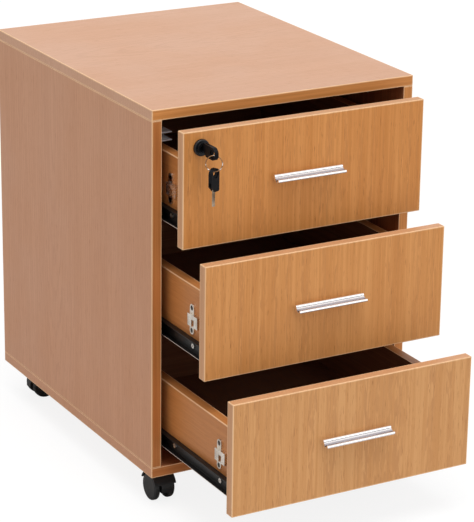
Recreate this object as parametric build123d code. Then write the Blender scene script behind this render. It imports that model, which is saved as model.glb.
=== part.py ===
from build123d import *
import math
import os

# Under-desk pedestal: a board carcass on four castors with three lockable drawers.
# X runs across the front, +Y goes to the back, +Z is up and the floor is z = 0.
# The drawers open towards -Y and are drawn partly open, each by its own amount.

# Carcass
carcass_width = 410.0
carcass_depth = 500.0
carcass_height = 530.0
castor_height = 52.0
board = 15.0
back_thickness = 5.0
back_inset = 12.0
panel_groove_depth = 6.0
edge_radius = 0.8

# Clearances that several pieces share
cut_overrun = 2.0
fit_gap = 0.05
running_gap = 0.08

# Cam fittings and dowels
cam_radius = 7.5
cam_depth = 12.0
cam_setback = 24.0
cam_cross_width = 1.4
cam_cross_depth = 2.0
cam_bolt_radius = 3.0
cam_bolt_grip = 10.0
dowel_radius = 4.0
dowel_length = 30.0
dowel_grip = 10.0
fitting_front_inset = 95.0
fitting_rear_inset = 75.0
dowel_offset = 36.0

# Drawer fronts, with how far each drawer stands open
drawer_names = ("top", "middle", "bottom")
drawer_openings = (55.0, 118.0, 197.0)
drawer_travel = 290.0
front_gap = 4.0
front_side_gap = 2.5

# Drawer boxes
slide_space = 12.7
drawer_side_thickness = 15.0
drawer_side_rise = 18.0
drawer_side_drop = 44.0
drawer_box_depth = 400.0
drawer_back_thickness = 12.0
drawer_back_drop = 8.0
drawer_bottom_thickness = 4.0
drawer_bottom_lift = 8.0
drawer_groove_depth = 6.0
front_cam_low_inset = 40.0
front_cam_high_inset = 22.0
back_screw_low_inset = 35.0
back_screw_high_inset = 28.0

# Ball-bearing slides
slide_rise = 33.8
rail_length = 390.0
rail_setback = 3.0
rail_thickness = 1.2
rail_lip = 8.3
rail_edge_radius = 0.4
outer_rail_height = 32.0
inner_rail_height = 20.0
rail_screw_inset = 28.5
wall_screw_inset = 62.0
rail_screw_pitch = 130.0
rail_screw_count = 3
largest_ball_pitch = 15.0
ball_clearance = 0.3
cage_thickness = 0.7
cage_margin = 4.0

# Screws
screw_head_radius = 3.4
screw_head_height = 1.8
screw_radius = 1.7
screw_length = 11.0
rail_screw_length = 9.0
back_screw_length = 34.0
cross_recess_length = 3.6
cross_recess_width = 0.9
cross_recess_depth = 0.9

# Handles
handle_length = 106.5
handle_hole_spacing = 96.0
handle_upper_out = 7.0
handle_upper_rise = 5.0
handle_upper_radius = 2.6
handle_lip_out = 17.5
handle_lip_rise = 0.6
handle_lip_radius = 2.2
handle_dish = 1.2
handle_band = 2.2
handle_post_radius = 3.2
handle_post_drop = 1.0
handle_screw_radius = 2.0
handle_screw_grip = 7.0

# Lock
lock_inset = 26.5
lock_drop = 22.5
rosette_radius = 11.5
rosette_thickness = 4.0
rosette_round = 1.5
lock_collar_radius = 8.2
lock_collar_length = 4.0
lock_barrel_radius = 9.0
lock_barrel_reach = 6.0
lock_nut_radius = 13.0
lock_nut_thickness = 4.0
plug_radius = 6.0
plug_proud = 0.5
plug_disc_thickness = 3.0
plug_disc_gap = 0.4
plug_disc_rim = 1.0
throw_radius = 8.0
throw_pin_radius = 4.0
throw_pin_length = 20.0
throw_rest_angle = 45.0
key_slot_gap = 0.2

# Lock bar with its studs and receiver
lock_bar_setback = 43.0
lock_bar_width = 19.0
lock_bar_thickness = 5.0
lock_bar_clearance = 0.4
lock_bar_end_gap = 10.0
stud_radius = 2.5
stud_end_clearance = 3.0
receiver_gap = 0.8
receiver_sheet = 1.5
receiver_front_gap = 3.5
receiver_reach_past_pin = 2.0
guide_sheet = 1.5
guide_width = 40.0
guide_height = 14.0
guide_rise = 100.0
guide_screw_inset = 5.0

# Lock catches on the left drawer sides
catch_height = 70.4
catch_boss_spacing = 32.0
catch_boss_radius = 5.5
catch_boss_offset = 8.4
catch_plate = 2.0
catch_arm = 5.5
catch_arm_height = 17.0
catch_arm_front = 13.0
catch_slot_depth = 10.5
catch_slot_gap = 1.0
stud_free_gap = 2.8

# Keys and ring
bow_length = 32.0
bow_width = 17.0
bow_thickness = 5.5
bow_corner_radius = 8.0
bow_chamfer = 7.5
bow_heel_radius = 2.0
bow_cheek_length = 13.0
bow_hole_inset = 7.0
bow_hole_radius = 3.6
bow_hole_recess_radius = 6.5
bow_eye_thickness = 3.0
bow_standoff = 2.5
bow_blade_shift = 0.5
rivet_inset = 6.5
rivet_shift = 4.0
rivet_radius = 1.3
blade_height = 4.5
blade_thickness = 1.8
blade_length = 17.5
blade_side_gap = 0.3
tang_eye_radius = 3.6
tang_reach = 8.0
blade_notch_count = 4
blade_notch_radius = 0.8
ring_radius = 11.0
ring_wire_radius = 0.75
ring_turn = -33.0
ring_hang = 2.1
spare_hang = 2.1
spare_turn = 25.0

# Castors, each with the way it has swung: left front, right front, left rear, right rear
castor_inset_x = 32.0
castor_inset_front = 54.0
castor_inset_rear = 37.0
castor_places = (
    ("front_left", -1, -1, 0.0),
    ("front_right", 1, -1, 15.0),
    ("rear_left", -1, 1, 90.0),
    ("rear_right", 1, 1, -70.0),
)
castor_trail = 14.0
wheel_radius = 20.0
wheel_width = 9.0
wheel_round = 3.0
wheel_web_gap = 0.5
castor_web = 13.0
hood_gap = 0.8
hood_thickness = 2.2
hood_side_gap = 0.6
hood_drop = 4.0
guard_rise = 8.0
axle_radius = 2.0
stem_radius = 3.5
stem_length = 20.0
stem_boss_radius = 7.0
stem_boss_length = 22.0
castor_plate_size = 40.0
castor_plate_thickness = 2.0
castor_screw_inset = 6.0
swivel_gap = 0.4

# Places worked out from the sizes above
half_width = carcass_width / 2
inner_wall = half_width - board
front_plane = -carcass_depth / 2
rear_plane = carcass_depth / 2
underside = castor_height
top_face = underside + carcass_height
opening_low = underside + board
opening_high = top_face - board
drawer_count = len(drawer_names)
front_height = (opening_high - opening_low - front_gap * (drawer_count + 1)) / drawer_count
front_half = inner_wall - front_side_gap
box_half = inner_wall - slide_space
box_inner = box_half - drawer_side_thickness
rail_front = front_plane + board + rail_setback
outer_half = outer_rail_height / 2
inner_half = inner_rail_height / 2
race_height = (outer_half - rail_thickness + inner_half) / 2
ball_radius = (outer_half - rail_thickness - inner_half) / 2 - ball_clearance
cage_length = rail_length - drawer_travel - cage_margin
ball_run = cage_length - cage_margin * 2
ball_count = math.ceil(ball_run / largest_ball_pitch) + 1
lock_bar_y = front_plane + lock_bar_setback
plug_stand = rosette_thickness + lock_collar_length + plug_proud
throw_rise = throw_radius * math.sin(math.radians(throw_rest_angle))
throw_run = throw_radius * math.cos(math.radians(throw_rest_angle))
axle_height = wheel_radius
plate_low = castor_height - castor_plate_thickness


def slab(corner, opposite):
    """A box between two opposite corners."""
    size = [abs(b - a) for a, b in zip(corner, opposite)]
    centre = [(a + b) / 2 for a, b in zip(corner, opposite)]
    return Pos(*centre) * Box(*size)


def plank(corner, opposite):
    """A board with slightly rounded edges."""
    return fillet(slab(corner, opposite).edges(), edge_radius)


def rod(start, end, radius):
    """A round bar between two points."""
    axis = Vector(*end) - Vector(*start)
    middle = [(a + b) / 2 for a, b in zip(start, end)]
    return Plane(origin=middle, z_dir=axis) * Cylinder(radius, axis.length)


def step_along(point, direction, distance):
    """The point that lies a distance from another along a unit direction."""
    return tuple(p + d * distance for p, d in zip(point, direction))


def save(name, *shapes):
    """Write one node, as a single solid or a group of separate solids."""
    solids = [solid for shape in shapes for solid in shape.solids()]
    export_step(solids[0] if len(solids) == 1 else Compound(solids), f"parts/{name}.step")


def wall_x(side, distance):
    """X at a distance from an inner side wall, towards the middle; side is -1 left or 1 right."""
    return side * (inner_wall - distance)


def front_low(index):
    """Height of a drawer front's lower edge; the top drawer has index 0."""
    return opening_high - (index + 1) * (front_gap + front_height)


def slide_z(index):
    return front_low(index) + slide_rise


def cross_recess(seat, outward, across, upward):
    """Two crossed slots sunk into a screw head from its outer face."""
    top = step_along(seat, outward, screw_head_height)
    floor = step_along(top, outward, -cross_recess_depth)
    slots = []
    for long_way, short_way in ((across, upward), (upward, across)):
        corner = step_along(floor, long_way, -cross_recess_length / 2)
        corner = step_along(corner, short_way, -cross_recess_width / 2)
        opposite = step_along(top, long_way, cross_recess_length / 2)
        opposite = step_along(opposite, short_way, cross_recess_width / 2)
        slots.append(slab(corner, step_along(opposite, outward, cut_overrun)))
    return slots


def pan_screw(seat, outward, across, upward, length):
    """A pan-head screw whose head stands on the seat; outward points away from the material."""
    head = rod(seat, step_along(seat, outward, screw_head_height), screw_head_radius)
    shank = rod(seat, step_along(seat, outward, -length), screw_radius)
    return head + shank - cross_recess(seat, outward, across, upward)


def screw_hole(seat, outward, length, radius=screw_radius):
    """What is cut for a shank: a hole from just outside the seat to the screw's tip."""
    tip = step_along(seat, outward, -length - fit_gap)
    return rod(step_along(seat, outward, cut_overrun), tip, radius + fit_gap)


def flush_screw(seat, outward, head_depth, length):
    """A screw whose head lies flush under the seat, as deep as the sheet it holds."""
    head = rod(seat, step_along(seat, outward, -head_depth), screw_head_radius)
    return head + rod(seat, step_along(seat, outward, -length), screw_radius)


def cam(face, inward, across, upward):
    """A cam housing sunk into a board from its face, with a crossed slot in its head."""
    housing = rod(face, step_along(face, inward, cam_depth), cam_radius)
    floor = step_along(face, inward, cam_cross_depth)
    slots = []
    for long_way, short_way in ((across, upward), (upward, across)):
        corner = step_along(step_along(floor, long_way, -cam_radius / 2), short_way, -cam_cross_width / 2)
        opposite = step_along(step_along(face, long_way, cam_radius / 2), short_way, cam_cross_width / 2)
        slots.append(slab(corner, step_along(opposite, inward, -cut_overrun)))
    return housing - slots


def cam_pocket(face, inward):
    return rod(step_along(face, inward, -cut_overrun), step_along(face, inward, cam_depth + fit_gap),
               cam_radius + fit_gap)


def build_carcass():
    """Panels, cam fittings, dowels and the rails' cabinet members."""
    screws = []
    cams = []
    dowels = []
    rails = []
    side_cuts = {-1: [], 1: []}
    level_cuts = {-1: [], 1: []}
    fitting_places = (front_plane + fitting_front_inset, rear_plane - fitting_rear_inset)
    for side in (-1, 1):
        board_middle = side * (half_width - board / 2)
        for end, joint_z in ((-1, opening_low), (1, opening_high)):
            for place in fitting_places:
                face = (side * inner_wall, place, joint_z - end * cam_setback)
                cams.append(cam(face, (side, 0, 0), (0, 1, 0), (0, 0, 1)))
                side_cuts[side].append(cam_pocket(face, (side, 0, 0)))
                bolt_tip = (board_middle, place, joint_z - end * (cam_setback - cam_radius))
                bolt_root = (board_middle, place, joint_z + end * cam_bolt_grip)
                cams.append(rod(bolt_tip, bolt_root, cam_bolt_radius))
                bolt_hole_end = (board_middle, place, joint_z + end * (cam_bolt_grip + fit_gap))
                bolt_hole = rod((board_middle, place, face[2]), bolt_hole_end, cam_bolt_radius + fit_gap)
                side_cuts[side].append(bolt_hole)
                level_cuts[end].append(bolt_hole)
                dowel_y = place + math.copysign(dowel_offset, -place)
                dowel_in = (board_middle, dowel_y, joint_z + end * dowel_grip)
                dowel_out = (board_middle, dowel_y, joint_z + end * (dowel_grip - dowel_length))
                dowels.append(rod(dowel_out, dowel_in, dowel_radius))
                hole_in = (board_middle, dowel_y, dowel_in[2] + end * fit_gap)
                hole_out = (board_middle, dowel_y, dowel_out[2] - end * fit_gap)
                dowel_hole = rod(hole_out, hole_in, dowel_radius + fit_gap)
                side_cuts[side].append(dowel_hole)
                level_cuts[end].append(dowel_hole)
        if side < 0:
            for seat in guide_screw_seats():
                screws.append(flush_screw(seat, (1, 0, 0), guide_sheet, rail_screw_length))
                side_cuts[side].append(screw_hole(seat, (1, 0, 0), rail_screw_length))
        for index in range(drawer_count):
            rail = rail_profile(side, 0, rail_lip, outer_half, rail_front, slide_z(index))
            for number in range(rail_screw_count):
                place = rail_front + wall_screw_inset + number * rail_screw_pitch
                seat = (wall_x(side, rail_thickness), place, slide_z(index))
                outward = (-side, 0, 0)
                screws.append(flush_screw(seat, outward, rail_thickness, rail_screw_length))
                rail -= screw_hole(seat, outward, rail_thickness, screw_head_radius)
                side_cuts[side].append(screw_hole(seat, outward, rail_screw_length))
            rails.append(rail)
    back_front = rear_plane - back_inset - back_thickness
    back_rear = rear_plane - back_inset
    for side in (-1, 1):
        side_cuts[side].append(slab(
            (wall_x(side, cut_overrun), back_front, opening_low - cut_overrun),
            (wall_x(side, -panel_groove_depth), back_rear, opening_high + cut_overrun)))
    groove_half = lock_bar_width / 2 + lock_bar_clearance
    groove_depth = lock_bar_thickness + lock_bar_clearance * 2
    side_cuts[-1].append(slab(
        (wall_x(-1, cut_overrun), lock_bar_y - groove_half, opening_low - cut_overrun),
        (wall_x(-1, -groove_depth), lock_bar_y + groove_half, opening_high + cut_overrun)))
    back_half = inner_wall + panel_groove_depth
    for end, joint_z in ((-1, opening_low), (1, opening_high)):
        level_cuts[end].append(slab(
            (-back_half, back_front, joint_z - end * cut_overrun),
            (back_half, back_rear, joint_z + end * panel_groove_depth)))
    for end, name, low in ((-1, "bottom_panel", underside), (1, "top_panel", opening_high)):
        panel = plank((-half_width, front_plane, low), (half_width, rear_plane, low + board))
        if end < 0:
            for seat in castor_screw_seats():
                panel -= screw_hole(seat, (0, 0, -1), screw_length)
        save(name, panel - level_cuts[end])
    for side, name in ((-1, "left_side_panel"), (1, "right_side_panel")):
        panel = plank((side * inner_wall, front_plane, opening_low),
                      (side * half_width, rear_plane, opening_high))
        save(name, panel - side_cuts[side])
    save("back_panel", slab(
        (-back_half + fit_gap, back_front, opening_low - panel_groove_depth + fit_gap),
        (back_half - fit_gap, back_rear, opening_high + panel_groove_depth - fit_gap)))
    save("carcass_cam_fittings", *cams)
    save("carcass_dowels", *dowels)
    save("outer_rails", *rails)
    for seat in castor_screw_seats():
        screws.append(pan_screw(seat, (0, 0, -1), (1, 0, 0), (0, 1, 0), screw_length))
    save("cabinet_screws", *screws)


def rail_profile(side, from_wall, lip_end, half, start, height):
    """A C-shaped rail whose web stands at from_wall and whose lips reach lip_end, counted from the wall."""
    inward = math.copysign(rail_thickness, lip_end - from_wall)
    finish = start + rail_length
    rail = slab((wall_x(side, from_wall), start, height - half),
                (wall_x(side, from_wall + inward), finish, height + half))
    for end in (-1, 1):
        rail += slab((wall_x(side, from_wall), start, height + end * half),
                     (wall_x(side, lip_end), finish, height + end * (half - rail_thickness)))
    return fillet(rail.edges().filter_by(Axis.Y), rail_edge_radius)


def castor_centre(across, along):
    """Swivel axis of a castor; across and along are -1 or 1."""
    inset_y = castor_inset_front if along < 0 else castor_inset_rear
    return across * (half_width - castor_inset_x), along * (rear_plane - inset_y)


def castor_screw_seats():
    """Undersides of the castor plates where their screws sit."""
    reach = castor_plate_size / 2 - castor_screw_inset
    seats = []
    for _, across, along, _ in castor_places:
        x, y = castor_centre(across, along)
        seats += [(x + a * reach, y + b * reach, plate_low) for a in (-1, 1) for b in (-1, 1)]
    return seats


def guide_z(index):
    """Height of the plate that keeps the lock bar in its groove behind a drawer front."""
    return front_low(index) + guide_rise


def guide_screw_seats():
    """Outer faces of the guide plates where their screws sit."""
    reach = guide_width / 2 - guide_screw_inset
    return [(wall_x(-1, guide_sheet), lock_bar_y + end * reach, guide_z(index))
            for index in range(drawer_count) for end in (-1, 1)]


def build_guides():
    """Flat plates over the lock bar's groove."""
    guides = []
    for index in range(drawer_count):
        guides.append(slab(
            (wall_x(-1, 0), lock_bar_y - guide_width / 2, guide_z(index) - guide_height / 2),
            (wall_x(-1, guide_sheet), lock_bar_y + guide_width / 2, guide_z(index) + guide_height / 2)))
    for seat in guide_screw_seats():
        guides = [guide - screw_hole(seat, (1, 0, 0), guide_sheet, screw_head_radius) for guide in guides]
    save("lock_bar_guides", *guides)


def handle(front_face, middle):
    """A dished grip between an upper bead and an outer lip, on two posts."""
    upper = (handle_upper_out, handle_upper_rise)
    lip = (handle_lip_out, handle_lip_rise)
    sag = ((handle_upper_out + handle_lip_out) / 2 - handle_dish / 2,
           (handle_upper_rise + handle_lip_rise) / 2 - handle_dish)
    section = SlotArc(ThreePointArc(upper, sag, lip), handle_band)
    section += Pos(*upper) * Circle(handle_upper_radius)
    section += Pos(*lip) * Circle(handle_lip_radius)
    side_view = Plane(origin=(0, front_face, middle), x_dir=(0, -1, 0), z_dir=(-1, 0, 0))
    grip = extrude(side_view * section, amount=handle_length / 2, both=True)
    post_z = middle - handle_post_drop
    for place in (-handle_hole_spacing / 2, handle_hole_spacing / 2):
        post_root = (place, front_face, post_z)
        grip += rod(post_root, (place, front_face - sag[0], post_z), handle_post_radius)
        bore_end = (place, front_face - handle_screw_grip - fit_gap, post_z)
        grip -= rod(post_root, bore_end, handle_screw_radius + fit_gap)
    return grip


def lock_catch(front_face, low):
    """A plate on two bosses with a thick slotted arm that the bar's stud rises into."""
    face = -box_half
    middle_y = front_face + lock_bar_setback
    boss_y = middle_y + catch_boss_offset
    middle_z = low + catch_height
    body = slab((face, boss_y - catch_boss_radius, middle_z - catch_boss_spacing / 2),
                (face - catch_plate, boss_y + catch_boss_radius, middle_z + catch_boss_spacing / 2))
    seats = []
    for end in (-1, 1):
        boss_z = middle_z + end * catch_boss_spacing / 2
        seats.append((face - catch_plate, boss_y, boss_z))
        body += rod((face, boss_y, boss_z), seats[-1], catch_boss_radius)
    arm_low = middle_z - catch_arm_height / 2
    body += slab((face, middle_y - catch_arm_front, arm_low),
                 (face - catch_arm, boss_y + catch_boss_radius, arm_low + catch_arm_height))
    slot_half = stud_radius + catch_slot_gap
    body -= slab((face + cut_overrun, middle_y - slot_half, arm_low - cut_overrun),
                 (face - catch_arm - cut_overrun, middle_y + slot_half, arm_low + catch_slot_depth))
    for seat in seats:
        body -= screw_hole(seat, (-1, 0, 0), catch_plate, screw_head_radius)
    return body, seats


def build_drawer(index):
    """One drawer at its own opening: front, box, handle, rails, catch, cam fittings and screws."""
    name = drawer_names[index]
    face = front_plane - drawer_openings[index]
    low = front_low(index)
    high = low + front_height
    middle = (low + high) / 2
    back_of_front = face + board
    rear = back_of_front + drawer_box_depth
    side_low = low + drawer_side_rise
    side_high = high - drawer_side_drop
    bottom_low = side_low + drawer_bottom_lift
    bottom_top = bottom_low + drawer_bottom_thickness
    rail_start = rail_front - drawer_openings[index]
    screws = []
    cams = []
    front = plank((-front_half, face, low), (front_half, back_of_front, high))
    for place in (-handle_hole_spacing / 2, handle_hole_spacing / 2):
        seat = (place, back_of_front, middle - handle_post_drop)
        screws.append(handle_screw(seat))
        front -= screw_hole(seat, (0, 1, 0), board + handle_screw_grip, handle_screw_radius)
    if index == 0:
        x, z = lock_axis()
        front -= rod((x, face - cut_overrun, z), (x, back_of_front + cut_overrun, z),
                     lock_barrel_radius + fit_gap)
    catch, catch_seats = lock_catch(face, low)
    rails = []
    for side, side_name in ((-1, "left"), (1, "right")):
        panel = plank((side * box_half, back_of_front, side_low), (side * box_inner, rear, side_high))
        panel -= slab((side * (box_inner - cut_overrun), back_of_front - cut_overrun, bottom_low),
                      (side * (box_inner + drawer_groove_depth), rear + cut_overrun, bottom_top))
        board_middle = side * (box_inner + box_half) / 2
        for cam_z in (side_low + front_cam_low_inset, side_high - front_cam_high_inset):
            cam_face = (side * box_inner, back_of_front + cam_setback, cam_z)
            cams.append(cam(cam_face, (side, 0, 0), (0, 1, 0), (0, 0, 1)))
            bolt_root = (board_middle, back_of_front - cam_bolt_grip, cam_z)
            bolt_tip = (board_middle, back_of_front + cam_setback - cam_radius, cam_z)
            cams.append(rod(bolt_root, bolt_tip, cam_bolt_radius))
            bolt_hole = rod(step_along(bolt_root, (0, -1, 0), fit_gap),
                            (board_middle, back_of_front + cam_setback, cam_z), cam_bolt_radius + fit_gap)
            panel -= [cam_pocket(cam_face, (side, 0, 0)), bolt_hole]
            front -= bolt_hole
        rail = rail_profile(side, slide_space, slide_space - rail_lip, inner_half, rail_start, slide_z(index))
        for number in range(rail_screw_count):
            place = rail_start + rail_screw_inset + number * rail_screw_pitch
            seat = (wall_x(side, slide_space - rail_thickness), place, slide_z(index))
            screws.append(pan_screw(seat, (side, 0, 0), (0, 1, 0), (0, 0, 1), rail_screw_length))
            hole = screw_hole(seat, (side, 0, 0), rail_screw_length)
            rail -= hole
            panel -= hole
        rails.append(rail)
        for screw_z in (side_low + back_screw_low_inset, side_high - back_screw_high_inset):
            seat = (side * box_half, rear - drawer_back_thickness / 2, screw_z)
            screws.append(flush_screw(seat, (side, 0, 0), screw_head_height, back_screw_length))
            panel -= sunk_hole(seat, (side, 0, 0), back_screw_length)
        if side < 0:
            for seat in catch_seats:
                screws.append(flush_screw(seat, (side, 0, 0), catch_plate, screw_length))
                panel -= screw_hole(seat, (side, 0, 0), screw_length)
        save(f"{name}_drawer_{side_name}_side", panel)
    back = plank((-box_inner, rear - drawer_back_thickness, bottom_top),
                 (box_inner, rear, side_high - drawer_back_drop))
    for side in (-1, 1):
        for screw_z in (side_low + back_screw_low_inset, side_high - back_screw_high_inset):
            seat = (side * box_half, rear - drawer_back_thickness / 2, screw_z)
            back -= screw_hole(seat, (side, 0, 0), back_screw_length)
    bottom_half = box_inner + drawer_groove_depth - fit_gap
    bottom = slab((-bottom_half, back_of_front, bottom_low), (bottom_half, rear, bottom_top))
    save(f"{name}_drawer_front", front)
    save(f"{name}_drawer_back", back)
    save(f"{name}_drawer_bottom", bottom)
    save(f"{name}_drawer_handle", handle(face, middle))
    save(f"{name}_drawer_inner_rails", *rails)
    save(f"{name}_drawer_lock_catch", catch)
    save(f"{name}_drawer_cam_fittings", *cams)
    save(f"{name}_drawer_screws", *screws)


def handle_screw(seat):
    """The screw that holds a handle post from inside the drawer front."""
    head = rod(seat, step_along(seat, (0, 1, 0), screw_head_height), screw_head_radius)
    shank = rod(seat, step_along(seat, (0, -1, 0), board + handle_screw_grip), handle_screw_radius)
    return head + shank - cross_recess(seat, (0, 1, 0), (1, 0, 0), (0, 0, 1))


def sunk_hole(seat, outward, length):
    head = rod(step_along(seat, outward, cut_overrun), step_along(seat, outward, -screw_head_height),
               screw_head_radius + fit_gap)
    return head + screw_hole(seat, outward, length)


def build_ball_cages(index):
    """The left and right ball cages of one drawer, half as far out as the drawer."""
    pieces = []
    centre = rail_front + rail_length / 2 - drawer_openings[index] / 2
    height = slide_z(index)
    web_from_wall = (rail_thickness + slide_space - rail_lip) / 2
    ball_from_wall = slide_space / 2
    pitch = ball_run / (ball_count - 1)
    start = centre - cage_length / 2
    finish = centre + cage_length / 2
    for side in (-1, 1):
        web_near = wall_x(side, web_from_wall - cage_thickness / 2)
        web_far = wall_x(side, web_from_wall + cage_thickness / 2)
        flange_end = wall_x(side, ball_from_wall + ball_radius + cage_thickness)
        cage = slab((web_near, start, height - race_height), (web_far, finish, height + race_height))
        for end in (-1, 1):
            race = height + end * race_height
            cage += slab((web_near, start, race - cage_thickness / 2),
                         (flange_end, finish, race + cage_thickness / 2))
            for number in range(ball_count):
                spot = (wall_x(side, ball_from_wall), start + cage_margin + number * pitch, race)
                under = step_along(spot, (0, 0, -1), cage_thickness)
                over = step_along(spot, (0, 0, 1), cage_thickness)
                cage -= rod(under, over, ball_radius + fit_gap)
                pieces.append(Pos(*spot) * Sphere(ball_radius))
        pieces.append(cage)
    save(f"{drawer_names[index]}_ball_cages", *pieces)


def lock_axis():
    """X and Z of the lock's axis on the top drawer front."""
    return -front_half + lock_inset, front_low(0) + front_height - lock_drop


def build_lock():
    """Rosette with barrel and nut, and the plug with its throw pin, on the top drawer front."""
    x, z = lock_axis()
    face = front_plane - drawer_openings[0]
    barrel_end = face + board + lock_barrel_reach
    plug_front = face - plug_stand
    rosette = rod((x, face, z), (x, face - rosette_thickness, z), rosette_radius)
    outer_rim = rosette.faces().sort_by(Axis.Y)[0].edges()
    housing = fillet(outer_rim, rosette_round) + rod((x, face, z), (x, barrel_end, z), lock_barrel_radius)
    housing += rod((x, face, z), (x, face - rosette_thickness - lock_collar_length, z), lock_collar_radius)
    housing -= rod((x, plug_front - cut_overrun, z), (x, barrel_end + cut_overrun, z),
                   plug_radius + running_gap)
    nut = rod((x, face + board, z), (x, face + board + lock_nut_thickness, z), lock_nut_radius)
    nut -= rod((x, face, z), (x, barrel_end, z), lock_barrel_radius + fit_gap)
    save("lock_housing", housing, nut)
    disc_front = barrel_end + plug_disc_gap
    disc_rear = disc_front + plug_disc_thickness
    plug = rod((x, plug_front, z), (x, disc_front, z), plug_radius)
    plug += rod((x, disc_front, z), (x, disc_rear, z), throw_radius + throw_pin_radius + plug_disc_rim)
    pin_root = (x - throw_run, disc_rear, z - throw_rise)
    plug += rod(pin_root, step_along(pin_root, (0, 1, 0), throw_pin_length), throw_pin_radius)
    slot_half = blade_thickness / 2 + key_slot_gap
    slot_rise = blade_height / 2 + key_slot_gap
    plug -= slab((x - slot_half, plug_front - cut_overrun, z - slot_rise),
                 (x + slot_half, plug_front + blade_length + key_slot_gap, z + slot_rise))
    save("lock_plug", plug)


def build_lock_bar():
    """The bar in the left panel's groove with one stud per drawer and the receiver for the throw pin."""
    x_face = wall_x(-1, -lock_bar_clearance)
    x_groove = x_face - lock_bar_thickness
    bar_half = lock_bar_width / 2
    bar = slab((x_groove, lock_bar_y - bar_half, opening_low + lock_bar_end_gap),
               (x_face, lock_bar_y + bar_half, opening_high - throw_rise * 2 - lock_bar_end_gap / 2))
    pieces = [bar]
    for index in range(drawer_count):
        stud_z = front_low(index) + catch_height - catch_arm_height / 2 - stud_free_gap - stud_radius
        stud_end = wall_x(-1, slide_space - stud_end_clearance)
        pieces.append(rod((x_face, lock_bar_y, stud_z), (stud_end, lock_bar_y, stud_z), stud_radius))
    x, z = lock_axis()
    channel = z - throw_rise
    inner_gap = throw_pin_radius + receiver_gap
    disc_rear = front_plane + board + lock_barrel_reach + plug_disc_gap + plug_disc_thickness
    flange_front = disc_rear + receiver_front_gap
    flange_end = x - throw_run + throw_pin_radius + receiver_reach_past_pin
    rear = lock_bar_y + bar_half
    foot_end = wall_x(-1, lock_bar_clearance)
    receiver = slab((x_face, lock_bar_y - bar_half, channel - inner_gap - receiver_sheet),
                    (foot_end, rear, channel + inner_gap + receiver_sheet))
    receiver += slab((foot_end, flange_front, channel - inner_gap - receiver_sheet),
                     (foot_end + receiver_sheet, rear, channel + inner_gap + receiver_sheet))
    for end in (-1, 1):
        receiver += slab((foot_end, flange_front, channel + end * inner_gap),
                         (flange_end, rear, channel + end * (inner_gap + receiver_sheet)))
    pieces.append(receiver)
    save("lock_bar", *pieces)


def through_rivet(half, radius):
    """A round about a folding key's rivet, as far as half each way from the key's middle plane."""
    return rod((rivet_inset, rivet_shift, -half), (rivet_inset, rivet_shift, half), radius)


def key_bow():
    """A flat grip in its own frame: X runs from the blade end to the eye, Y across, Z through it."""
    half = bow_width / 2
    chamfered = ((bow_chamfer, -half), (0, -half + bow_chamfer))
    face = make_face(Polyline((0, half), (bow_length, half), (bow_length, -half), *chamfered, close=True))
    heel = face.vertices().group_by(Axis.X)[0].sort_by(Axis.Y)[-1]
    face = fillet(heel, bow_heel_radius)
    face = fillet(face.vertices().group_by(Axis.X)[-1], bow_corner_radius)
    grip = extrude(face, amount=bow_thickness / 2, both=True)
    eye = bow_length - bow_hole_inset
    for end in (-1, 1):
        recess_floor = (eye, 0, end * bow_eye_thickness / 2)
        recess_mouth = (eye, 0, end * (bow_thickness / 2 + cut_overrun))
        grip -= rod(recess_floor, recess_mouth, bow_hole_recess_radius)
    grip -= rod((eye, 0, -bow_thickness), (eye, 0, bow_thickness), bow_hole_radius)
    slot_half = blade_thickness / 2 + blade_side_gap
    grip -= slab((-cut_overrun, -bow_width, -slot_half), (bow_cheek_length, bow_width, slot_half))
    return grip + through_rivet(bow_thickness / 2, rivet_radius)


def key_blade():
    """A blade in the same frame as its grip, reaching towards -X, with an eye round the grip's rivet."""
    low = -bow_blade_shift - blade_height / 2
    blade = slab((-blade_length - bow_standoff, low, -blade_thickness / 2),
                 (tang_reach, low + blade_height, blade_thickness / 2))
    blade += through_rivet(blade_thickness / 2, tang_eye_radius)
    blade -= through_rivet(blade_thickness, rivet_radius + running_gap)
    edge = low + blade_height
    for number in range(blade_notch_count):
        place = -bow_standoff - blade_length * (number + 1) / (blade_notch_count + 1)
        blade -= rod((place, edge, -blade_thickness), (place, edge, blade_thickness), blade_notch_radius)
    return blade


def build_keys():
    """The key in the lock, the wire ring through its eye and the spare key hanging from the ring."""
    x, z = lock_axis()
    plug_front = front_plane - drawer_openings[0] - plug_stand
    bow_start = (x, plug_front - bow_standoff, z + bow_blade_shift)
    inserted = Plane(origin=bow_start, x_dir=(0, -1, 0), z_dir=(-1, 0, 0))
    save("inserted_key_bow", inserted * key_bow())
    save("inserted_key_blade", inserted * key_blade())
    eye = bow_length - bow_hole_inset
    hanging_point = step_along(bow_start, (0, -1, 0), eye)
    ring_middle = step_along(hanging_point, (0, 0, -1), ring_hang + ring_radius)
    ring_axis = (math.sin(math.radians(-ring_turn)), math.cos(math.radians(-ring_turn)), 0)
    save("key_ring", Plane(origin=ring_middle, z_dir=ring_axis) * Torus(ring_radius, ring_wire_radius))
    spare_eye = step_along(ring_middle, (0, 0, -1), ring_radius + spare_hang)
    spare_facing = (-math.sin(math.radians(spare_turn)), math.cos(math.radians(spare_turn)), 0)
    spare = Plane(origin=step_along(spare_eye, (0, 0, -1), eye), x_dir=(0, 0, 1), z_dir=spare_facing)
    save("spare_key_bow", spare * key_bow())
    save("spare_key_blade", spare * key_blade())


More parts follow.
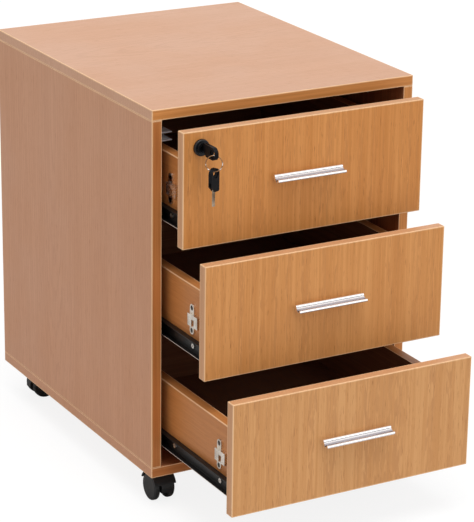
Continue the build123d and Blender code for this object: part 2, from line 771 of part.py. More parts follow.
def castor_hood():
    """The hood about its swivel axis: a web between the wheels, a guard over them and the stem's boss."""
    half = castor_web / 2 + wheel_web_gap + wheel_width + hood_side_gap
    axle = (0, -castor_trail, axle_height)
    guard_inner = wheel_radius + hood_gap
    guard_outer = guard_inner + hood_thickness
    left_end = step_along(axle, (-1, 0, 0), half)
    right_end = step_along(axle, (1, 0, 0), half)
    hood = rod(left_end, right_end, guard_outer)
    reach = guard_outer + cut_overrun
    hood -= slab((-half - cut_overrun, -castor_trail - reach, axle_height - hood_drop),
                 (half + cut_overrun, -castor_trail + reach, axle_height - reach))
    boss_top = plate_low - swivel_gap
    hood += rod((0, 0, boss_top - stem_boss_length), (0, 0, boss_top), stem_boss_radius)
    for side in (-1, 1):
        web_face = step_along(axle, (side, 0, 0), castor_web / 2)
        hood -= rod(web_face, step_along(axle, (side, 0, 0), half + cut_overrun), guard_inner)
        hood -= slab((side * castor_web / 2, -castor_trail - reach, axle_height - reach),
                     (side * (half + cut_overrun), -castor_trail + reach, axle_height + guard_rise))
    stem_end = (0, 0, plate_low - stem_length - swivel_gap)
    hood -= rod(stem_end, (0, 0, plate_low + cut_overrun), stem_radius + running_gap)
    return hood - rod(left_end, right_end, axle_radius + running_gap)


def castor_wheels():
    """Two wheels pressed on one axle, about the castor's swivel axis."""
    axle = (0, -castor_trail, axle_height)
    inner = castor_web / 2 + wheel_web_gap
    outer = inner + wheel_width
    pieces = [rod(step_along(axle, (1, 0, 0), -outer), step_along(axle, (1, 0, 0), outer), axle_radius)]
    for side in (-1, 1):
        near = step_along(axle, (side, 0, 0), inner)
        far = step_along(axle, (side, 0, 0), outer)
        wheel = rod(near, far, wheel_radius)
        wheel = fillet(wheel.edges().filter_by(GeomType.CIRCLE), wheel_round)
        pieces.append(wheel - rod(near, far, axle_radius))
    return pieces


def build_castors():
    """Plates with their stems, and each castor's hood and wheels turned the way it has swung."""
    plates = []
    stems = []
    reach = castor_plate_size / 2
    for name, across, along, swing in castor_places:
        x, y = castor_centre(across, along)
        plate = slab((x - reach, y - reach, plate_low), (x + reach, y + reach, castor_height))
        stem_top = (x, y, castor_height)
        stem_end = (x, y, plate_low - stem_length)
        plate -= rod(step_along(stem_top, (0, 0, 1), cut_overrun), stem_end, stem_radius + fit_gap)
        plates.append(plate)
        stems.append(rod(stem_top, stem_end, stem_radius))
        turned = Pos(x, y, 0) * Rot(0, 0, swing)
        save(f"{name}_castor_hood", turned * castor_hood())
        save(f"{name}_castor_wheels", *[turned * piece for piece in castor_wheels()])
    depth = castor_plate_thickness + cut_overrun
    holes = [screw_hole(seat, (0, 0, -1), depth) for seat in castor_screw_seats()]
    save("castor_plates", *[plate - holes for plate in plates], *stems)


os.makedirs("parts", exist_ok=True)
build_carcass()
for drawer in range(drawer_count):
    build_drawer(drawer)
    build_ball_cages(drawer)
build_lock()
build_lock_bar()
build_guides()
build_keys()
build_castors()
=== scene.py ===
import math

import bpy
from mathutils import Matrix, Vector


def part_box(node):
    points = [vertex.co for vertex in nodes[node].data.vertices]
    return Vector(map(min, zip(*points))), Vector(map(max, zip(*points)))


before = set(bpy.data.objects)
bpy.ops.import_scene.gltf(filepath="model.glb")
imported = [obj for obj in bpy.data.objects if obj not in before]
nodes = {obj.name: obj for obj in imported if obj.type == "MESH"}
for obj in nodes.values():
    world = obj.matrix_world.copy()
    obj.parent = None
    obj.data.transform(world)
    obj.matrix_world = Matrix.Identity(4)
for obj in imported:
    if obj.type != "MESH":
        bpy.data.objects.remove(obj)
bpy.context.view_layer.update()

# Looks of an under-desk pedestal: wood-laminate boards, black slides and castors, bright metal fittings.
# Metres, X across the front, +Y to the back, +Z up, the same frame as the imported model.
drawers = ("top", "middle", "bottom")
X, Y, Z = 0, 1, 2

# Where nearly all values of a noise lie
NOISE_RANGE = (0.3, 0.7)
# A face looks along an axis where more than this share of its normal does
FACING_SHARE = 0.6


def tone(red, green, blue):
    """A colour given as 0 to 255 on screen, in the linear values that shaders use."""
    return tuple(((part / 255 + 0.055) / 1.055) ** 2.4 for part in (red, green, blue))


def paler(colour, share):
    """A colour moved a share of the way to white."""
    return tuple(part + (1.0 - part) * share for part in colour)


class Finish:
    """One surface finish: a node material, with a short call for each node that the finishes use."""

    def __init__(self, name):
        self.material = bpy.data.materials.new(name)
        self.material.use_nodes = True
        self.tree = self.material.node_tree
        self.shader = next(node for node in self.tree.nodes if node.type == "BSDF_PRINCIPLED")
        self.place = self.tree.nodes.new("ShaderNodeTexCoord").outputs["Object"]
        self.facing = self.tree.nodes.new("ShaderNodeNewGeometry").outputs["Normal"]

    def put(self, value, socket):
        """Link an output to a socket, or set a plain value on it."""
        if isinstance(value, bpy.types.NodeSocket):
            self.tree.links.new(value, socket)
        elif socket.type == "RGBA" and len(value) == 3:
            socket.default_value = (*value, 1.0)
        else:
            socket.default_value = value

    def combine(self, operation, first, second=0.0):
        node = self.tree.nodes.new("ShaderNodeMath")
        node.operation = operation
        self.put(first, node.inputs[0])
        self.put(second, node.inputs[1])
        return node.outputs[0]

    def times(self, first, second):
        return self.combine("MULTIPLY", first, second)

    def span(self, value, low, high, to_low=0.0, to_high=1.0):
        """A smooth step of a value between low and high."""
        node = self.tree.nodes.new("ShaderNodeMapRange")
        node.interpolation_type = "SMOOTHSTEP"
        self.put(value, node.inputs["Value"])
        self.put(low, node.inputs["From Min"])
        self.put(high, node.inputs["From Max"])
        self.put(to_low, node.inputs["To Min"])
        self.put(to_high, node.inputs["To Max"])
        return node.outputs["Result"]

    def stretch(self, axis, share, centre=(0.0, 0.0, 0.0)):
        """Places about a centre, cut to a share along one axis, so that a pattern on them runs along it."""
        scale = tuple(share if each == axis else 1.0 for each in (X, Y, Z))
        node = self.tree.nodes.new("ShaderNodeMapping")
        self.put(self.place, node.inputs["Vector"])
        self.put(scale, node.inputs["Scale"])
        self.put(tuple(-part * size for part, size in zip(centre, scale)), node.inputs["Location"])
        return node.outputs["Vector"]

    def noise(self, vector, scale, detail=2.0, rough=0.5, bend=0.0):
        node = self.tree.nodes.new("ShaderNodeTexNoise")
        self.put(vector, node.inputs["Vector"])
        self.put(scale, node.inputs["Scale"])
        self.put(detail, node.inputs["Detail"])
        self.put(rough, node.inputs["Roughness"])
        self.put(bend, node.inputs["Distortion"])
        return node.outputs["Fac"]

    def rings(self, vector, scale, bend):
        """Growth rings about the origin of a vector."""
        node = self.tree.nodes.new("ShaderNodeTexWave")
        node.wave_type = "RINGS"
        node.rings_direction = "SPHERICAL"
        self.put(vector, node.inputs["Vector"])
        self.put(scale, node.inputs["Scale"])
        self.put(bend, node.inputs["Distortion"])
        self.put(3.0, node.inputs["Detail"])
        self.put(6.0, node.inputs["Detail Scale"])
        return node.outputs["Fac"]

    def parts(self, vector):
        """The X, Y and Z of a vector."""
        node = self.tree.nodes.new("ShaderNodeSeparateXYZ")
        self.put(vector, node.inputs[0])
        return node.outputs

    def along(self, direction, start):
        """How far a place lies from a start along a direction, in lengths of that direction."""
        node = self.tree.nodes.new("ShaderNodeVectorMath")
        node.operation = "DOT_PRODUCT"
        self.put(self.place, node.inputs[0])
        scaled = direction / direction.length_squared
        self.put(tuple(scaled), node.inputs[1])
        return self.combine("SUBTRACT", node.outputs["Value"], start.dot(scaled))

    def blend(self, share, first, second):
        """The first colour where the share is nothing, and the second where it is one."""
        node = self.tree.nodes.new("ShaderNodeMix")
        node.data_type = "RGBA"
        self.put(share, node.inputs["Factor"])
        self.put(first, node.inputs["A"])
        self.put(second, node.inputs["B"])
        return node.outputs["Result"]

    def tones(self, share, pair):
        """The dark tone of a pair where the share is nothing, and its light tone where it is one."""
        light, dark = pair
        return self.blend(share, dark, light)

    def bump(self, height, strength, depth):
        node = self.tree.nodes.new("ShaderNodeBump")
        self.put(height, node.inputs["Height"])
        self.put(strength, node.inputs["Strength"])
        self.put(depth, node.inputs["Distance"])
        self.put(node.outputs["Normal"], self.shader.inputs["Normal"])

    def looks(self, axis, way):
        """One where a face looks one way along an axis."""
        return self.combine("GREATER_THAN", self.times(self.parts(self.facing)[axis], way), FACING_SHARE)

    def rounded(self, low=0.04, high=0.3):
        """One on rounded edges and nothing on faces that lie square to an axis; metal and plastic paint
        their edge highlights where it is one.
        """
        sizes = [self.combine("ABSOLUTE", part) for part in self.parts(self.facing)]
        largest = self.combine("MAXIMUM", self.combine("MAXIMUM", sizes[X], sizes[Y]), sizes[Z])
        return self.span(self.combine("SUBTRACT", 1.0, largest), low, high)

    def edge_highlight_mask(self, box, width):
        """A painted highlight: one along the edges of a board that fills a box, fading to nothing over a
        width.
        """
        gaps = []
        for axis, part in enumerate(self.parts(self.place)):
            from_low = self.combine("SUBTRACT", part, box[0][axis])
            from_high = self.combine("SUBTRACT", box[1][axis], part)
            gaps.append(self.combine("MINIMUM", from_low, from_high))
        nearer = self.combine("MINIMUM", gaps[X], gaps[Y])
        farther = self.combine("MAXIMUM", gaps[X], gaps[Y])
        second = self.combine("MAXIMUM", nearer, self.combine("MINIMUM", farther, gaps[Z]))
        return self.span(second, 0.3 * width, width, 1.0, 0.0)

    def colour(self, value):
        self.put(value, self.shader.inputs["Base Color"])

    def rough(self, value):
        self.put(value, self.shader.inputs["Roughness"])

    def fix(self, **values):
        """Plain values on the shader's own sockets."""
        for name, value in values.items():
            self.put(value, self.shader.inputs[name.replace("_", " ")])


def give(material, *names):
    """Put one material on every material slot of the named nodes."""
    for name in names:
        node = nodes[name]
        if not node.material_slots:
            node.data.materials.append(material)
        for slot in node.material_slots:
            slot.material = material


# Wood laminate: a pair holds the light and the dark tone of a print
# The top panel's tone is paler and pinker than that of the side panels of the same laminate: painted light
# falling on the top
CARCASS_TOP = (tone(215, 166, 134), tone(207, 156, 123))
CARCASS = (tone(210, 154, 118), tone(201, 144, 107))
# The carcass's front-facing edge bands: a more orange tone as painted warm light, paler still on the top
# and right-hand boards as painted light
STILE = (tone(201, 130, 72), tone(180, 107, 54))
LIGHT_BAND = (tone(220, 148, 82), tone(198, 125, 63))
# Drawer front faces: the orange tone is painted warm light on faces that look to the front, and the paler
# tone from the top drawer to the bottom one is painted bounce light from the floor
FRONTS = {
    "top": (tone(220, 151, 85), tone(202, 131, 66)),
    "middle": (tone(222, 157, 94), tone(204, 137, 75)),
    "bottom": (tone(219, 163, 107), tone(204, 145, 89)),
}
FRONT_EDGE = (tone(214, 161, 118), tone(202, 146, 103))
DRAWER_SIDE = (tone(201, 132, 74), tone(188, 118, 63))
# Painted shade: the darker tones of the inner faces of carcass and drawers, and of the drawer bottoms
CARCASS_INSIDE_SHADE = (tone(194, 126, 84), tone(164, 100, 64))
DRAWER_INSIDE_SHADE = (tone(160, 108, 78), tone(130, 84, 58))
# Painted highlight along board edges: its tone, width and strength
EDGE_HIGHLIGHT = tone(250, 208, 162)
VEIN = tone(150, 84, 40)
EDGE_HIGHLIGHT_WIDTH = 0.0020
EDGE_HIGHLIGHT_SHARE = 0.85
BOARD_VEIN_SHARE = 0.18
FRONT_VEIN_SHARE = 0.3
FLECK_TO_VEIN = 2.0
BOARD_RELIEF = 0.0002

# How far each pattern of the print is drawn out along the grain
ALONG_GRAIN_SHARE = 0.016
ALONG_PORE_SHARE = 0.05
ALONG_RING_SHARE = 0.11

# Scales of the print's patterns, where larger is finer
BROAD_GRAIN = 24.0
FINE_GRAIN = 330.0
PORES = 1100.0
RINGS = 46.0
SMUDGES = 9.0

# Centres of the growth rings in the print, on some boards past the board's own edge
HEARTS = {
    "left_side_panel": (-0.2, 0.06, 0.5),
    "right_side_panel": (0.2, -0.05, 0.2),
    "top_panel": (0.3, 0.05, 0.58),
    "bottom_panel": (0.3, 0.05, 0.06),
    "top_drawer_front": (-0.02, 0.0, 0.70),
    "middle_drawer_front": (0.055, 0.0, 0.42),
    "bottom_drawer_front": (0.045, 0.0, 0.13),
}
DRAWER_BOX_HEART = (0.0, 0.1, 0.3)


def laminate(node, face, grain, banded=None, band=None, shaded_faces=None, inside=None, veins=BOARD_VEIN_SHARE):
    """Printed wood laminate on one board: its faces, edge band, inner face in painted shade and a painted
    highlight along its edges.
    """
    finish = Finish(f"{node}_laminate")
    along_grain = finish.stretch(grain, ALONG_GRAIN_SHARE)
    broad = finish.noise(along_grain, BROAD_GRAIN, bend=0.4)
    streaks = finish.noise(along_grain, FINE_GRAIN, detail=4.0, rough=0.62, bend=0.3)
    pores = finish.noise(finish.stretch(grain, ALONG_PORE_SHARE), PORES)
    heart = HEARTS.get(node, DRAWER_BOX_HEART)
    growth = finish.rings(finish.stretch(grain, ALONG_RING_SHARE, heart), RINGS, bend=4.0)
    share = finish.combine("ADD", finish.times(broad, 0.30), finish.times(streaks, 0.86))
    share = finish.span(share, 0.36, 0.80)
    vein = finish.times(finish.span(growth, 0.72, 0.97), finish.span(streaks, 0.35, 0.65))
    fleck = finish.span(pores, 0.62, 0.74)
    shade = finish.tones(share, face)
    shade = finish.blend(finish.times(vein, veins), shade, VEIN)
    shade = finish.blend(finish.times(fleck, FLECK_TO_VEIN * veins), shade, VEIN)
    # On carcass boards the band that looks to the front takes a more orange tone, which is painted warm
    # light; on drawer fronts the band is the narrow edges' own tone.
    if banded:
        shade = finish.blend(banded(finish), shade, finish.tones(share, band))
    # Painted highlight along the board's edges, broken up by the grain.
    edges = finish.edge_highlight_mask(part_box(node), EDGE_HIGHLIGHT_WIDTH)
    grain_broken_highlight = finish.times(edges, finish.span(streaks, 0.3, 0.6, 0.7, 1.0))
    shade = finish.blend(finish.times(grain_broken_highlight, EDGE_HIGHLIGHT_SHARE), shade, EDGE_HIGHLIGHT)
    # Painted shade: the board's inner faces take the darker inside tone.
    if shaded_faces:
        shade = finish.blend(shaded_faces(finish), shade, finish.tones(share, inside))
    finish.colour(shade)
    smudge = finish.span(finish.noise(finish.place, SMUDGES, detail=3.0), *NOISE_RANGE, 0.36, 0.46)
    finish.rough(finish.combine("ADD", smudge, finish.times(fleck, 0.10)))
    finish.bump(finish.combine("SUBTRACT", finish.times(streaks, 0.3), fleck), 0.10, BOARD_RELIEF)
    finish.fix(Specular_IOR_Level=0.25)
    give(finish.material, node)


def faces(axis, way):
    """A mask of the faces that look one way along an axis."""
    return lambda finish: finish.looks(axis, way)


def edge_faces(finish):
    """A mask of the four narrow faces round a drawer front."""
    across = finish.combine("ABSOLUTE", finish.parts(finish.facing)[Y])
    return finish.combine("LESS_THAN", across, FACING_SHARE)


def all_but_top(finish):
    """A mask of every face that doesn't look up."""
    return finish.combine("LESS_THAN", finish.parts(finish.facing)[Z], FACING_SHARE)


# Carcass boards: the orange tone of the front-facing band is painted warm light, and the darker tone of the
# inner faces is painted shade.
front_band = faces(Y, -1.0)
laminate("left_side_panel", CARCASS, Z, front_band, STILE, faces(X, 1.0), CARCASS_INSIDE_SHADE)
laminate("right_side_panel", CARCASS, Z, front_band, LIGHT_BAND, faces(X, -1.0), CARCASS_INSIDE_SHADE)
laminate("top_panel", CARCASS_TOP, X, front_band, LIGHT_BAND, faces(Z, -1.0), CARCASS_INSIDE_SHADE)
laminate("bottom_panel", CARCASS, X, front_band, STILE, faces(Z, 1.0), CARCASS_INSIDE_SHADE)
for drawer in drawers:
    # The orange tone of the front face is painted warm light, and the darker tone of its back face is
    # painted shade.
    laminate(f"{drawer}_drawer_front", FRONTS[drawer], Z, edge_faces, FRONT_EDGE,
             faces(Y, 1.0), DRAWER_INSIDE_SHADE, FRONT_VEIN_SHARE)
    # Drawer sides and backs: the darker tone of their inner faces is painted shade.
    for side, inward in (("left", 1.0), ("right", -1.0)):
        laminate(f"{drawer}_drawer_{side}_side", DRAWER_SIDE, Y,
                 shaded_faces=faces(X, inward), inside=DRAWER_INSIDE_SHADE)
    laminate(f"{drawer}_drawer_back", DRAWER_SIDE, X, shaded_faces=all_but_top, inside=DRAWER_INSIDE_SHADE)

# Fibre board and dowels
BACK_BOARD = (tone(168, 120, 84), tone(140, 96, 64))
DOWEL_BEECH = (tone(205, 170, 128), tone(176, 138, 98))
ALONG_FIBRE_SHARE = 0.15


def fibre_board(name, pair):
    """Thin board with a faint fibre pattern."""
    finish = Finish(name)
    fibres = finish.noise(finish.stretch(Y, ALONG_FIBRE_SHARE), 420.0, detail=3.0, rough=0.65)
    clouds = finish.noise(finish.place, 14.0)
    share = finish.combine("ADD", finish.times(fibres, 0.9), finish.times(clouds, 0.2))
    finish.colour(finish.tones(finish.span(share, 0.35, 0.85), pair))
    finish.rough(finish.span(fibres, *NOISE_RANGE, 0.55, 0.75))
    finish.bump(fibres, 0.15, BOARD_RELIEF)
    return finish.material


give(fibre_board("cabinet_back_board", BACK_BOARD), "back_panel")
# The drawer bottoms take the drawers' painted-shade inside tone.
give(fibre_board("drawer_bottom_shaded_board", DRAWER_INSIDE_SHADE), *[f"{drawer}_drawer_bottom" for drawer in drawers])
give(fibre_board("dowel_beech", DOWEL_BEECH), "carcass_dowels")

# Metal and plastic: a pair holds the light and the dark tone
DULL_ZINC = (tone(226, 227, 230), tone(196, 197, 201))
ZINC = (tone(232, 226, 216), tone(190, 182, 170))
BALL_STEEL = (tone(228, 226, 220), tone(184, 180, 172))
SCREW_STEEL = (tone(230, 226, 220), tone(186, 180, 172))
# Painted shade on the screws inside the lock catch
SCREW_PAINTED_SHADE = tone(52, 44, 38)
RAIL_BLACK = (tone(24, 22, 21), tone(13, 12, 12))
# Painted highlight along the rails' lower lip: its tone and the height of the band it covers
LIP_HIGHLIGHT = tone(226, 208, 194)
LIP_HIGHLIGHT_HEIGHT = 0.0009
ALONG_RAIL_SHARE = 0.05
METAL_RELIEF = 0.00003
PLASTIC_RELIEF = 0.00004
RAIL_RELIEF = 0.00005


def metal(name, pair, rough, marks_scale, along_share=1.0, bare=1.0):
    """Bare metal with fine marks, drawn out along Z by a share, with smudges and a painted highlight on
    rounded edges.
    """
    finish = Finish(name)
    marks = finish.noise(finish.stretch(Z, along_share), marks_scale, detail=3.0, rough=0.6)
    smudge = finish.noise(finish.place, 45.0)
    shade = finish.tones(finish.span(smudge, *NOISE_RANGE), pair)
    # Painted highlight: rounded edges are blended towards a paler tone.
    finish.colour(finish.blend(finish.times(finish.rounded(), 0.4), shade, paler(pair[0], 0.3)))
    finish.rough(finish.span(marks, *NOISE_RANGE, rough * 0.8, rough * 1.25))
    finish.bump(marks, 0.12, METAL_RELIEF)
    finish.fix(Metallic=bare)
    return finish.material


def plastic(name, pair, rough, texture_scale, shine=0.3):
    """Moulded plastic with a fine spark texture, a little dust and a faint painted highlight on rounded
    edges.
    """
    finish = Finish(name)
    texture = finish.noise(finish.place, texture_scale, rough=0.6)
    dust = finish.noise(finish.place, 60.0, detail=4.0, rough=0.65)
    shade = finish.tones(finish.span(dust, 0.35, 0.75), pair)
    # Painted highlight: rounded edges are blended a little towards a paler tone.
    finish.colour(finish.blend(finish.times(finish.rounded(), 0.3), shade, paler(pair[0], 0.03)))
    finish.rough(finish.span(texture, *NOISE_RANGE, rough * 0.85, rough * 1.15))
    finish.bump(texture, 0.12, PLASTIC_RELIEF)
    finish.fix(Specular_IOR_Level=shine)
    return finish.material


def coated_rail(name, node):
    """Black coated slide steel with a painted highlight along the edge of its lower lip."""
    finish = Finish(name)
    marks = finish.noise(finish.stretch(Y, ALONG_RAIL_SHARE), 700.0, detail=3.0, rough=0.6)
    dust = finish.noise(finish.place, 70.0, detail=3.0)
    shade = finish.tones(finish.span(dust, 0.35, 0.7), RAIL_BLACK)
    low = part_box(node)[0][Z]
    # Painted highlight: a band along the lower lip's edge is lightened, broken up by the marks.
    lip = finish.combine("LESS_THAN", finish.parts(finish.place)[Z], low + LIP_HIGHLIGHT_HEIGHT)
    lip_highlight_mask = finish.times(lip, finish.span(marks, 0.25, 0.55, 0.7, 1.0))
    finish.colour(finish.blend(lip_highlight_mask, shade, LIP_HIGHLIGHT))
    finish.rough(finish.span(marks, *NOISE_RANGE, 0.34, 0.46))
    finish.bump(marks, 0.1, RAIL_RELIEF)
    finish.fix(Specular_IOR_Level=0.3)
    give(finish.material, node)


def drawer_screw_steel(drawer):
    """Bright screws, with the two in the lock catch darkened as painted shade."""
    finish = Finish(f"{drawer}_screw_steel")
    marks = finish.noise(finish.place, 1200.0, detail=3.0)
    shade = finish.tones(finish.span(marks, *NOISE_RANGE), SCREW_STEEL)
    # Painted shade: screws inside the lock catch's box take the dark tone.
    low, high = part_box(f"{drawer}_drawer_lock_catch")
    inside = finish.combine("LESS_THAN", finish.parts(finish.place)[X], high[X])
    for axis in (Y, Z):
        part = finish.parts(finish.place)[axis]
        inside = finish.times(inside, finish.combine("GREATER_THAN", part, low[axis]))
        inside = finish.times(inside, finish.combine("LESS_THAN", part, high[axis]))
    finish.colour(finish.blend(inside, shade, SCREW_PAINTED_SHADE))
    finish.rough(finish.span(marks, *NOISE_RANGE, 0.22, 0.36))
    finish.bump(marks, 0.1, METAL_RELIEF)
    finish.fix(Metallic=1.0)
    give(finish.material, f"{drawer}_drawer_screws")


lock_bar_zinc = metal("dull_zinc", DULL_ZINC, rough=0.5, marks_scale=260.0, bare=0.3)
zinc = metal("zinc_plate", ZINC, rough=0.28, marks_scale=260.0)
ball_steel = metal("ball_and_screw_steel", BALL_STEEL, rough=0.26, marks_scale=1200.0)
give(zinc, "carcass_cam_fittings", "castor_plates", "lock_bar_guides")
give(lock_bar_zinc, "lock_bar")
give(ball_steel, "cabinet_screws")
coated_rail("cabinet_rail_coating", "outer_rails")
for drawer in drawers:
    coated_rail(f"{drawer}_rail_coating", f"{drawer}_drawer_inner_rails")
    drawer_screw_steel(drawer)
    give(ball_steel, f"{drawer}_ball_cages")
    give(zinc, f"{drawer}_drawer_lock_catch", f"{drawer}_drawer_cam_fittings")

# Handle section, in metres from the drawer front and from the handle's own box
BEAD_OUT = 0.0070
BEAD_RADIUS = 0.0026
LIP_RADIUS = 0.0022
LIP_DROP = 0.0044

# Handle finish: where each stretch starts, as shares of the way from bead to lip or from middle to end
TROUGH_START_SHARES = (0.34, 0.44)
LINE_START_SHARES = (0.64, 0.70)
LIP_START_SHARES = (0.82, 0.88)
LINE_END_SHARES = (0.3, 0.85)
# The chrome's own tone; the trough's grey, partly satin finish and partly painted reflection; and the
# painted dark reflection line above the lip
CHROME = tone(242, 240, 240)
SATIN_TROUGH_AND_REFLECTION = tone(176, 176, 186)
DARK_REFLECTION_LINE = tone(44, 46, 58)
ALONG_POLISH_SHARE = 0.03
CHROME_RELIEF = 0.00001


def handle_chrome(node):
    """Polished bead and lip with a trough between them, its grey tone partly a satin finish and partly a
    painted reflection, and a painted dark reflection line above the lip, darkest towards the ends.
    """
    finish = Finish(f"{node}_chrome")
    low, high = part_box(node)
    bead = Vector((0.0, high[Y] - BEAD_OUT, high[Z] - BEAD_RADIUS))
    lip = Vector((0.0, low[Y] + LIP_RADIUS, bead.z - LIP_DROP))
    marks = finish.noise(finish.stretch(X, ALONG_POLISH_SHARE), 1600.0, detail=3.0, rough=0.6)
    reach = finish.along(lip - bead, bead)
    above_lip = finish.span(reach, *LIP_START_SHARES, 1.0, 0.0)
    trough = finish.times(finish.span(reach, *TROUGH_START_SHARES), above_lip)
    # Painted dark reflection line above the lip, darker towards the handle's ends.
    line = finish.times(finish.span(reach, *LINE_START_SHARES), above_lip)
    from_middle = finish.combine("ABSOLUTE", finish.parts(finish.place)[X])
    fade_start, fade_end = (share * high[X] for share in LINE_END_SHARES)
    ends = finish.span(from_middle, fade_start, fade_end, 0.45, 1.0)
    shade = finish.blend(trough, CHROME, SATIN_TROUGH_AND_REFLECTION)
    finish.colour(finish.blend(finish.times(line, ends), shade, DARK_REFLECTION_LINE))
    polish = finish.span(marks, *NOISE_RANGE, 0.18, 0.26)
    finish.rough(finish.combine("ADD", polish, finish.times(trough, 0.14)))
    finish.bump(marks, 0.02, CHROME_RELIEF)
    finish.put(finish.span(trough, 0.0, 1.0, 1.0, 0.35), finish.shader.inputs["Metallic"])
    give(finish.material, node)


for drawer in drawers:
    handle_chrome(f"{drawer}_drawer_handle")

# Lock, keys and ring
LOCK_ENAMEL = (tone(18, 18, 22), tone(9, 9, 11))
LOCK_PLUG = (tone(62, 62, 68), tone(36, 36, 40))
KEY_GRIP = (tone(14, 14, 18), tone(7, 7, 10))
# Key blade: nickel as the light tone, and a painted brown reflection of the wood as the dark tone
KEY_NICKEL_AND_WOOD_REFLECTION = (tone(190, 172, 150), tone(104, 84, 64))
# Ring wire: painted glints as the light tone, and a painted brown reflection of the wood as the dark tone
RING_GLINTS_AND_WOOD_REFLECTION = (tone(240, 230, 220), tone(150, 112, 80))
ALONG_BLADE_SHARE = 0.2
WIRE_RELIEF = 0.00002


def ring_wire():
    """Thin nickel wire, its colour mostly a painted brown reflection of the wood, with a few painted bright
    glints.
    """
    finish = Finish("ring_wire_nickel")
    marks = finish.noise(finish.place, 900.0, detail=3.0)
    # Painted highlights: glints scattered over the painted wood reflection.
    painted_glints = finish.span(finish.noise(finish.place, 130.0), 0.52, 0.60)
    finish.colour(finish.tones(painted_glints, RING_GLINTS_AND_WOOD_REFLECTION))
    finish.rough(finish.span(marks, *NOISE_RANGE, 0.12, 0.2))
    finish.bump(marks, 0.05, WIRE_RELIEF)
    finish.fix(Metallic=1.0)
    return finish.material


lock_enamel = plastic("lock_enamel", LOCK_ENAMEL, rough=0.3, texture_scale=900.0, shine=0.35)
lock_plug_metal = metal("lock_plug_metal", LOCK_PLUG, rough=0.34, marks_scale=900.0)
key_grip = plastic("key_grip_plastic", KEY_GRIP, rough=0.42, texture_scale=1100.0, shine=0.10)
# The blade's brown patches are a painted reflection of the wood.
key_nickel = metal("key_blade_nickel", KEY_NICKEL_AND_WOOD_REFLECTION, rough=0.24, marks_scale=700.0,
                   along_share=ALONG_BLADE_SHARE)
give(lock_enamel, "lock_housing")
give(lock_plug_metal, "lock_plug")
give(key_grip, "inserted_key_bow", "spare_key_bow")
give(key_nickel, "inserted_key_blade", "spare_key_blade")
give(ring_wire(), "key_ring")

# Castors
HOOD_BLACK = (tone(36, 36, 36), tone(24, 24, 24))
WHEEL_BLACK = (tone(38, 38, 38), tone(24, 24, 24))
hood_plastic = plastic("castor_hood_plastic", HOOD_BLACK, rough=0.46, texture_scale=1400.0)
wheel_plastic = plastic("castor_wheel_plastic", WHEEL_BLACK, rough=0.44, texture_scale=1400.0)
for name in nodes:
    if name.endswith("castor_hood"):
        give(hood_plastic, name)
    if name.endswith("castor_wheels"):
        give(wheel_plastic, name)

# Studio: a white floor and world, two soft lamps and the camera at the photo's angle
FLOOR_SIZE = 40.0
FLOOR_WHITE = (0.72, 0.72, 0.72)
FLOOR_SEEN = (0.17, 0.17, 0.17)
FLOOR_GLOW = 0.86
WORLD_FILL = 0.45
CAMERA_HEADING_DEGREES = 29.485
CAMERA_TILT_DEGREES = 19.335
CAMERA_ROLL_DEGREES = 0.791
CAMERA_PLACE = (-1.5798, -2.9142, 1.4253)
CAMERA_REACH = 60.0
LENS_MILLIMETRES = 162.86
SENSOR_MILLIMETRES = 36.0


def either_ray(tree, names):
    """One for camera rays and for the other named kinds of ray."""
    path = tree.nodes.new("ShaderNodeLightPath")
    seen = path.outputs["Is Camera Ray"]
    for name in names:
        either = tree.nodes.new("ShaderNodeMath")
        either.operation = "MAXIMUM"
        tree.links.new(seen, either.inputs[0])
        tree.links.new(path.outputs[name], either.inputs[1])
        seen = either.outputs[0]
    return seen


def white_floor():
    """A wide white floor that keeps a faint shadow and fills the picture behind the object."""
    bpy.ops.object.select_all(action="DESELECT")
    bpy.ops.mesh.primitive_plane_add(size=FLOOR_SIZE)
    floor = bpy.context.object
    floor.name = "studio_floor"
    finish = Finish("studio_floor_white")
    tree = finish.tree
    camera = either_ray(tree, ())
    finish.colour(finish.blend(camera, FLOOR_WHITE, FLOOR_SEEN))
    finish.fix(Roughness=0.9, Specular_IOR_Level=0.0)
    glow = tree.nodes.new("ShaderNodeEmission")
    finish.put(finish.times(camera, FLOOR_GLOW), glow.inputs["Strength"])
    added = tree.nodes.new("ShaderNodeAddShader")
    tree.links.new(finish.shader.outputs[0], added.inputs[0])
    tree.links.new(glow.outputs[0], added.inputs[1])
    output = next(node for node in tree.nodes if node.type == "OUTPUT_MATERIAL")
    tree.links.new(added.outputs[0], output.inputs["Surface"])
    floor.data.materials.append(finish.material)


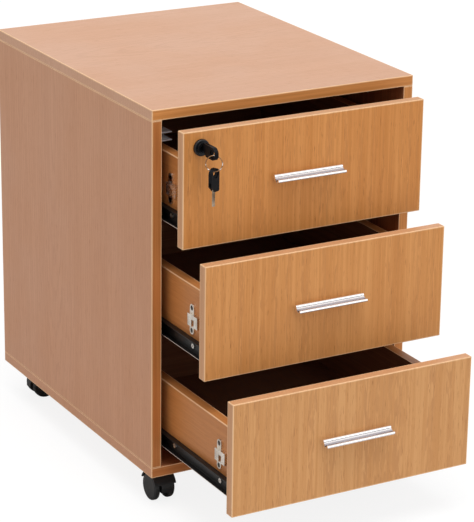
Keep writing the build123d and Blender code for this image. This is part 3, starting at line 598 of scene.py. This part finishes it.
def white_world():
    """Even light from all round, which camera and mirror rays see as plain white."""
    world = bpy.data.worlds.new("studio_white")
    bpy.context.scene.world = world
    world.use_nodes = True
    tree = world.node_tree
    background = next(node for node in tree.nodes if node.type == "BACKGROUND")
    background.inputs["Color"].default_value = (1.0, 1.0, 1.0, 1.0)
    strength = tree.nodes.new("ShaderNodeMapRange")
    tree.links.new(either_ray(tree, ("Is Glossy Ray", "Is Transmission Ray")), strength.inputs["Value"])
    strength.inputs["To Min"].default_value = WORLD_FILL
    tree.links.new(strength.outputs["Result"], background.inputs["Strength"])


def soft_sun(name, strength, spread, toward):
    """A broad lamp far off, its spread in degrees, that shines along a direction."""
    lamp = bpy.data.lights.new(name, "SUN")
    lamp.energy = strength
    lamp.angle = math.radians(spread)
    holder = bpy.data.objects.new(name, lamp)
    holder.rotation_euler = Vector(toward).to_track_quat("-Z", "Y").to_euler()
    bpy.context.scene.collection.objects.link(holder)


def photo_camera():
    """The camera at the photo's angle."""
    heading = math.radians(CAMERA_HEADING_DEGREES)
    tilt = math.radians(CAMERA_TILT_DEGREES)
    roll = math.radians(CAMERA_ROLL_DEGREES)
    level_share = math.cos(tilt)
    ahead = Vector((math.sin(heading) * level_share, math.cos(heading) * level_share, -math.sin(tilt)))
    level = ahead.cross(Vector((0.0, 0.0, 1.0))).normalized()
    over = level.cross(ahead)
    right = level * math.cos(roll) + over * math.sin(roll)
    up = over * math.cos(roll) - level * math.sin(roll)
    turn = Matrix((right, up, -ahead)).transposed().to_4x4()
    camera = bpy.data.objects.new("photo_camera", bpy.data.cameras.new("photo_camera"))
    camera.data.lens = LENS_MILLIMETRES
    camera.data.sensor_width = SENSOR_MILLIMETRES
    camera.data.clip_end = CAMERA_REACH
    camera.matrix_world = Matrix.Translation(CAMERA_PLACE) @ turn
    bpy.context.scene.collection.objects.link(camera)
    bpy.context.scene.camera = camera


white_floor()
white_world()
soft_sun("overhead_softbox", strength=1.75, spread=40.0, toward=(0.10, 0.22, -1.0))
soft_sun("front_softbox", strength=0.55, spread=50.0, toward=(-0.25, 1.0, -0.45))
photo_camera()
bpy.context.scene.view_settings.view_transform = "Standard"
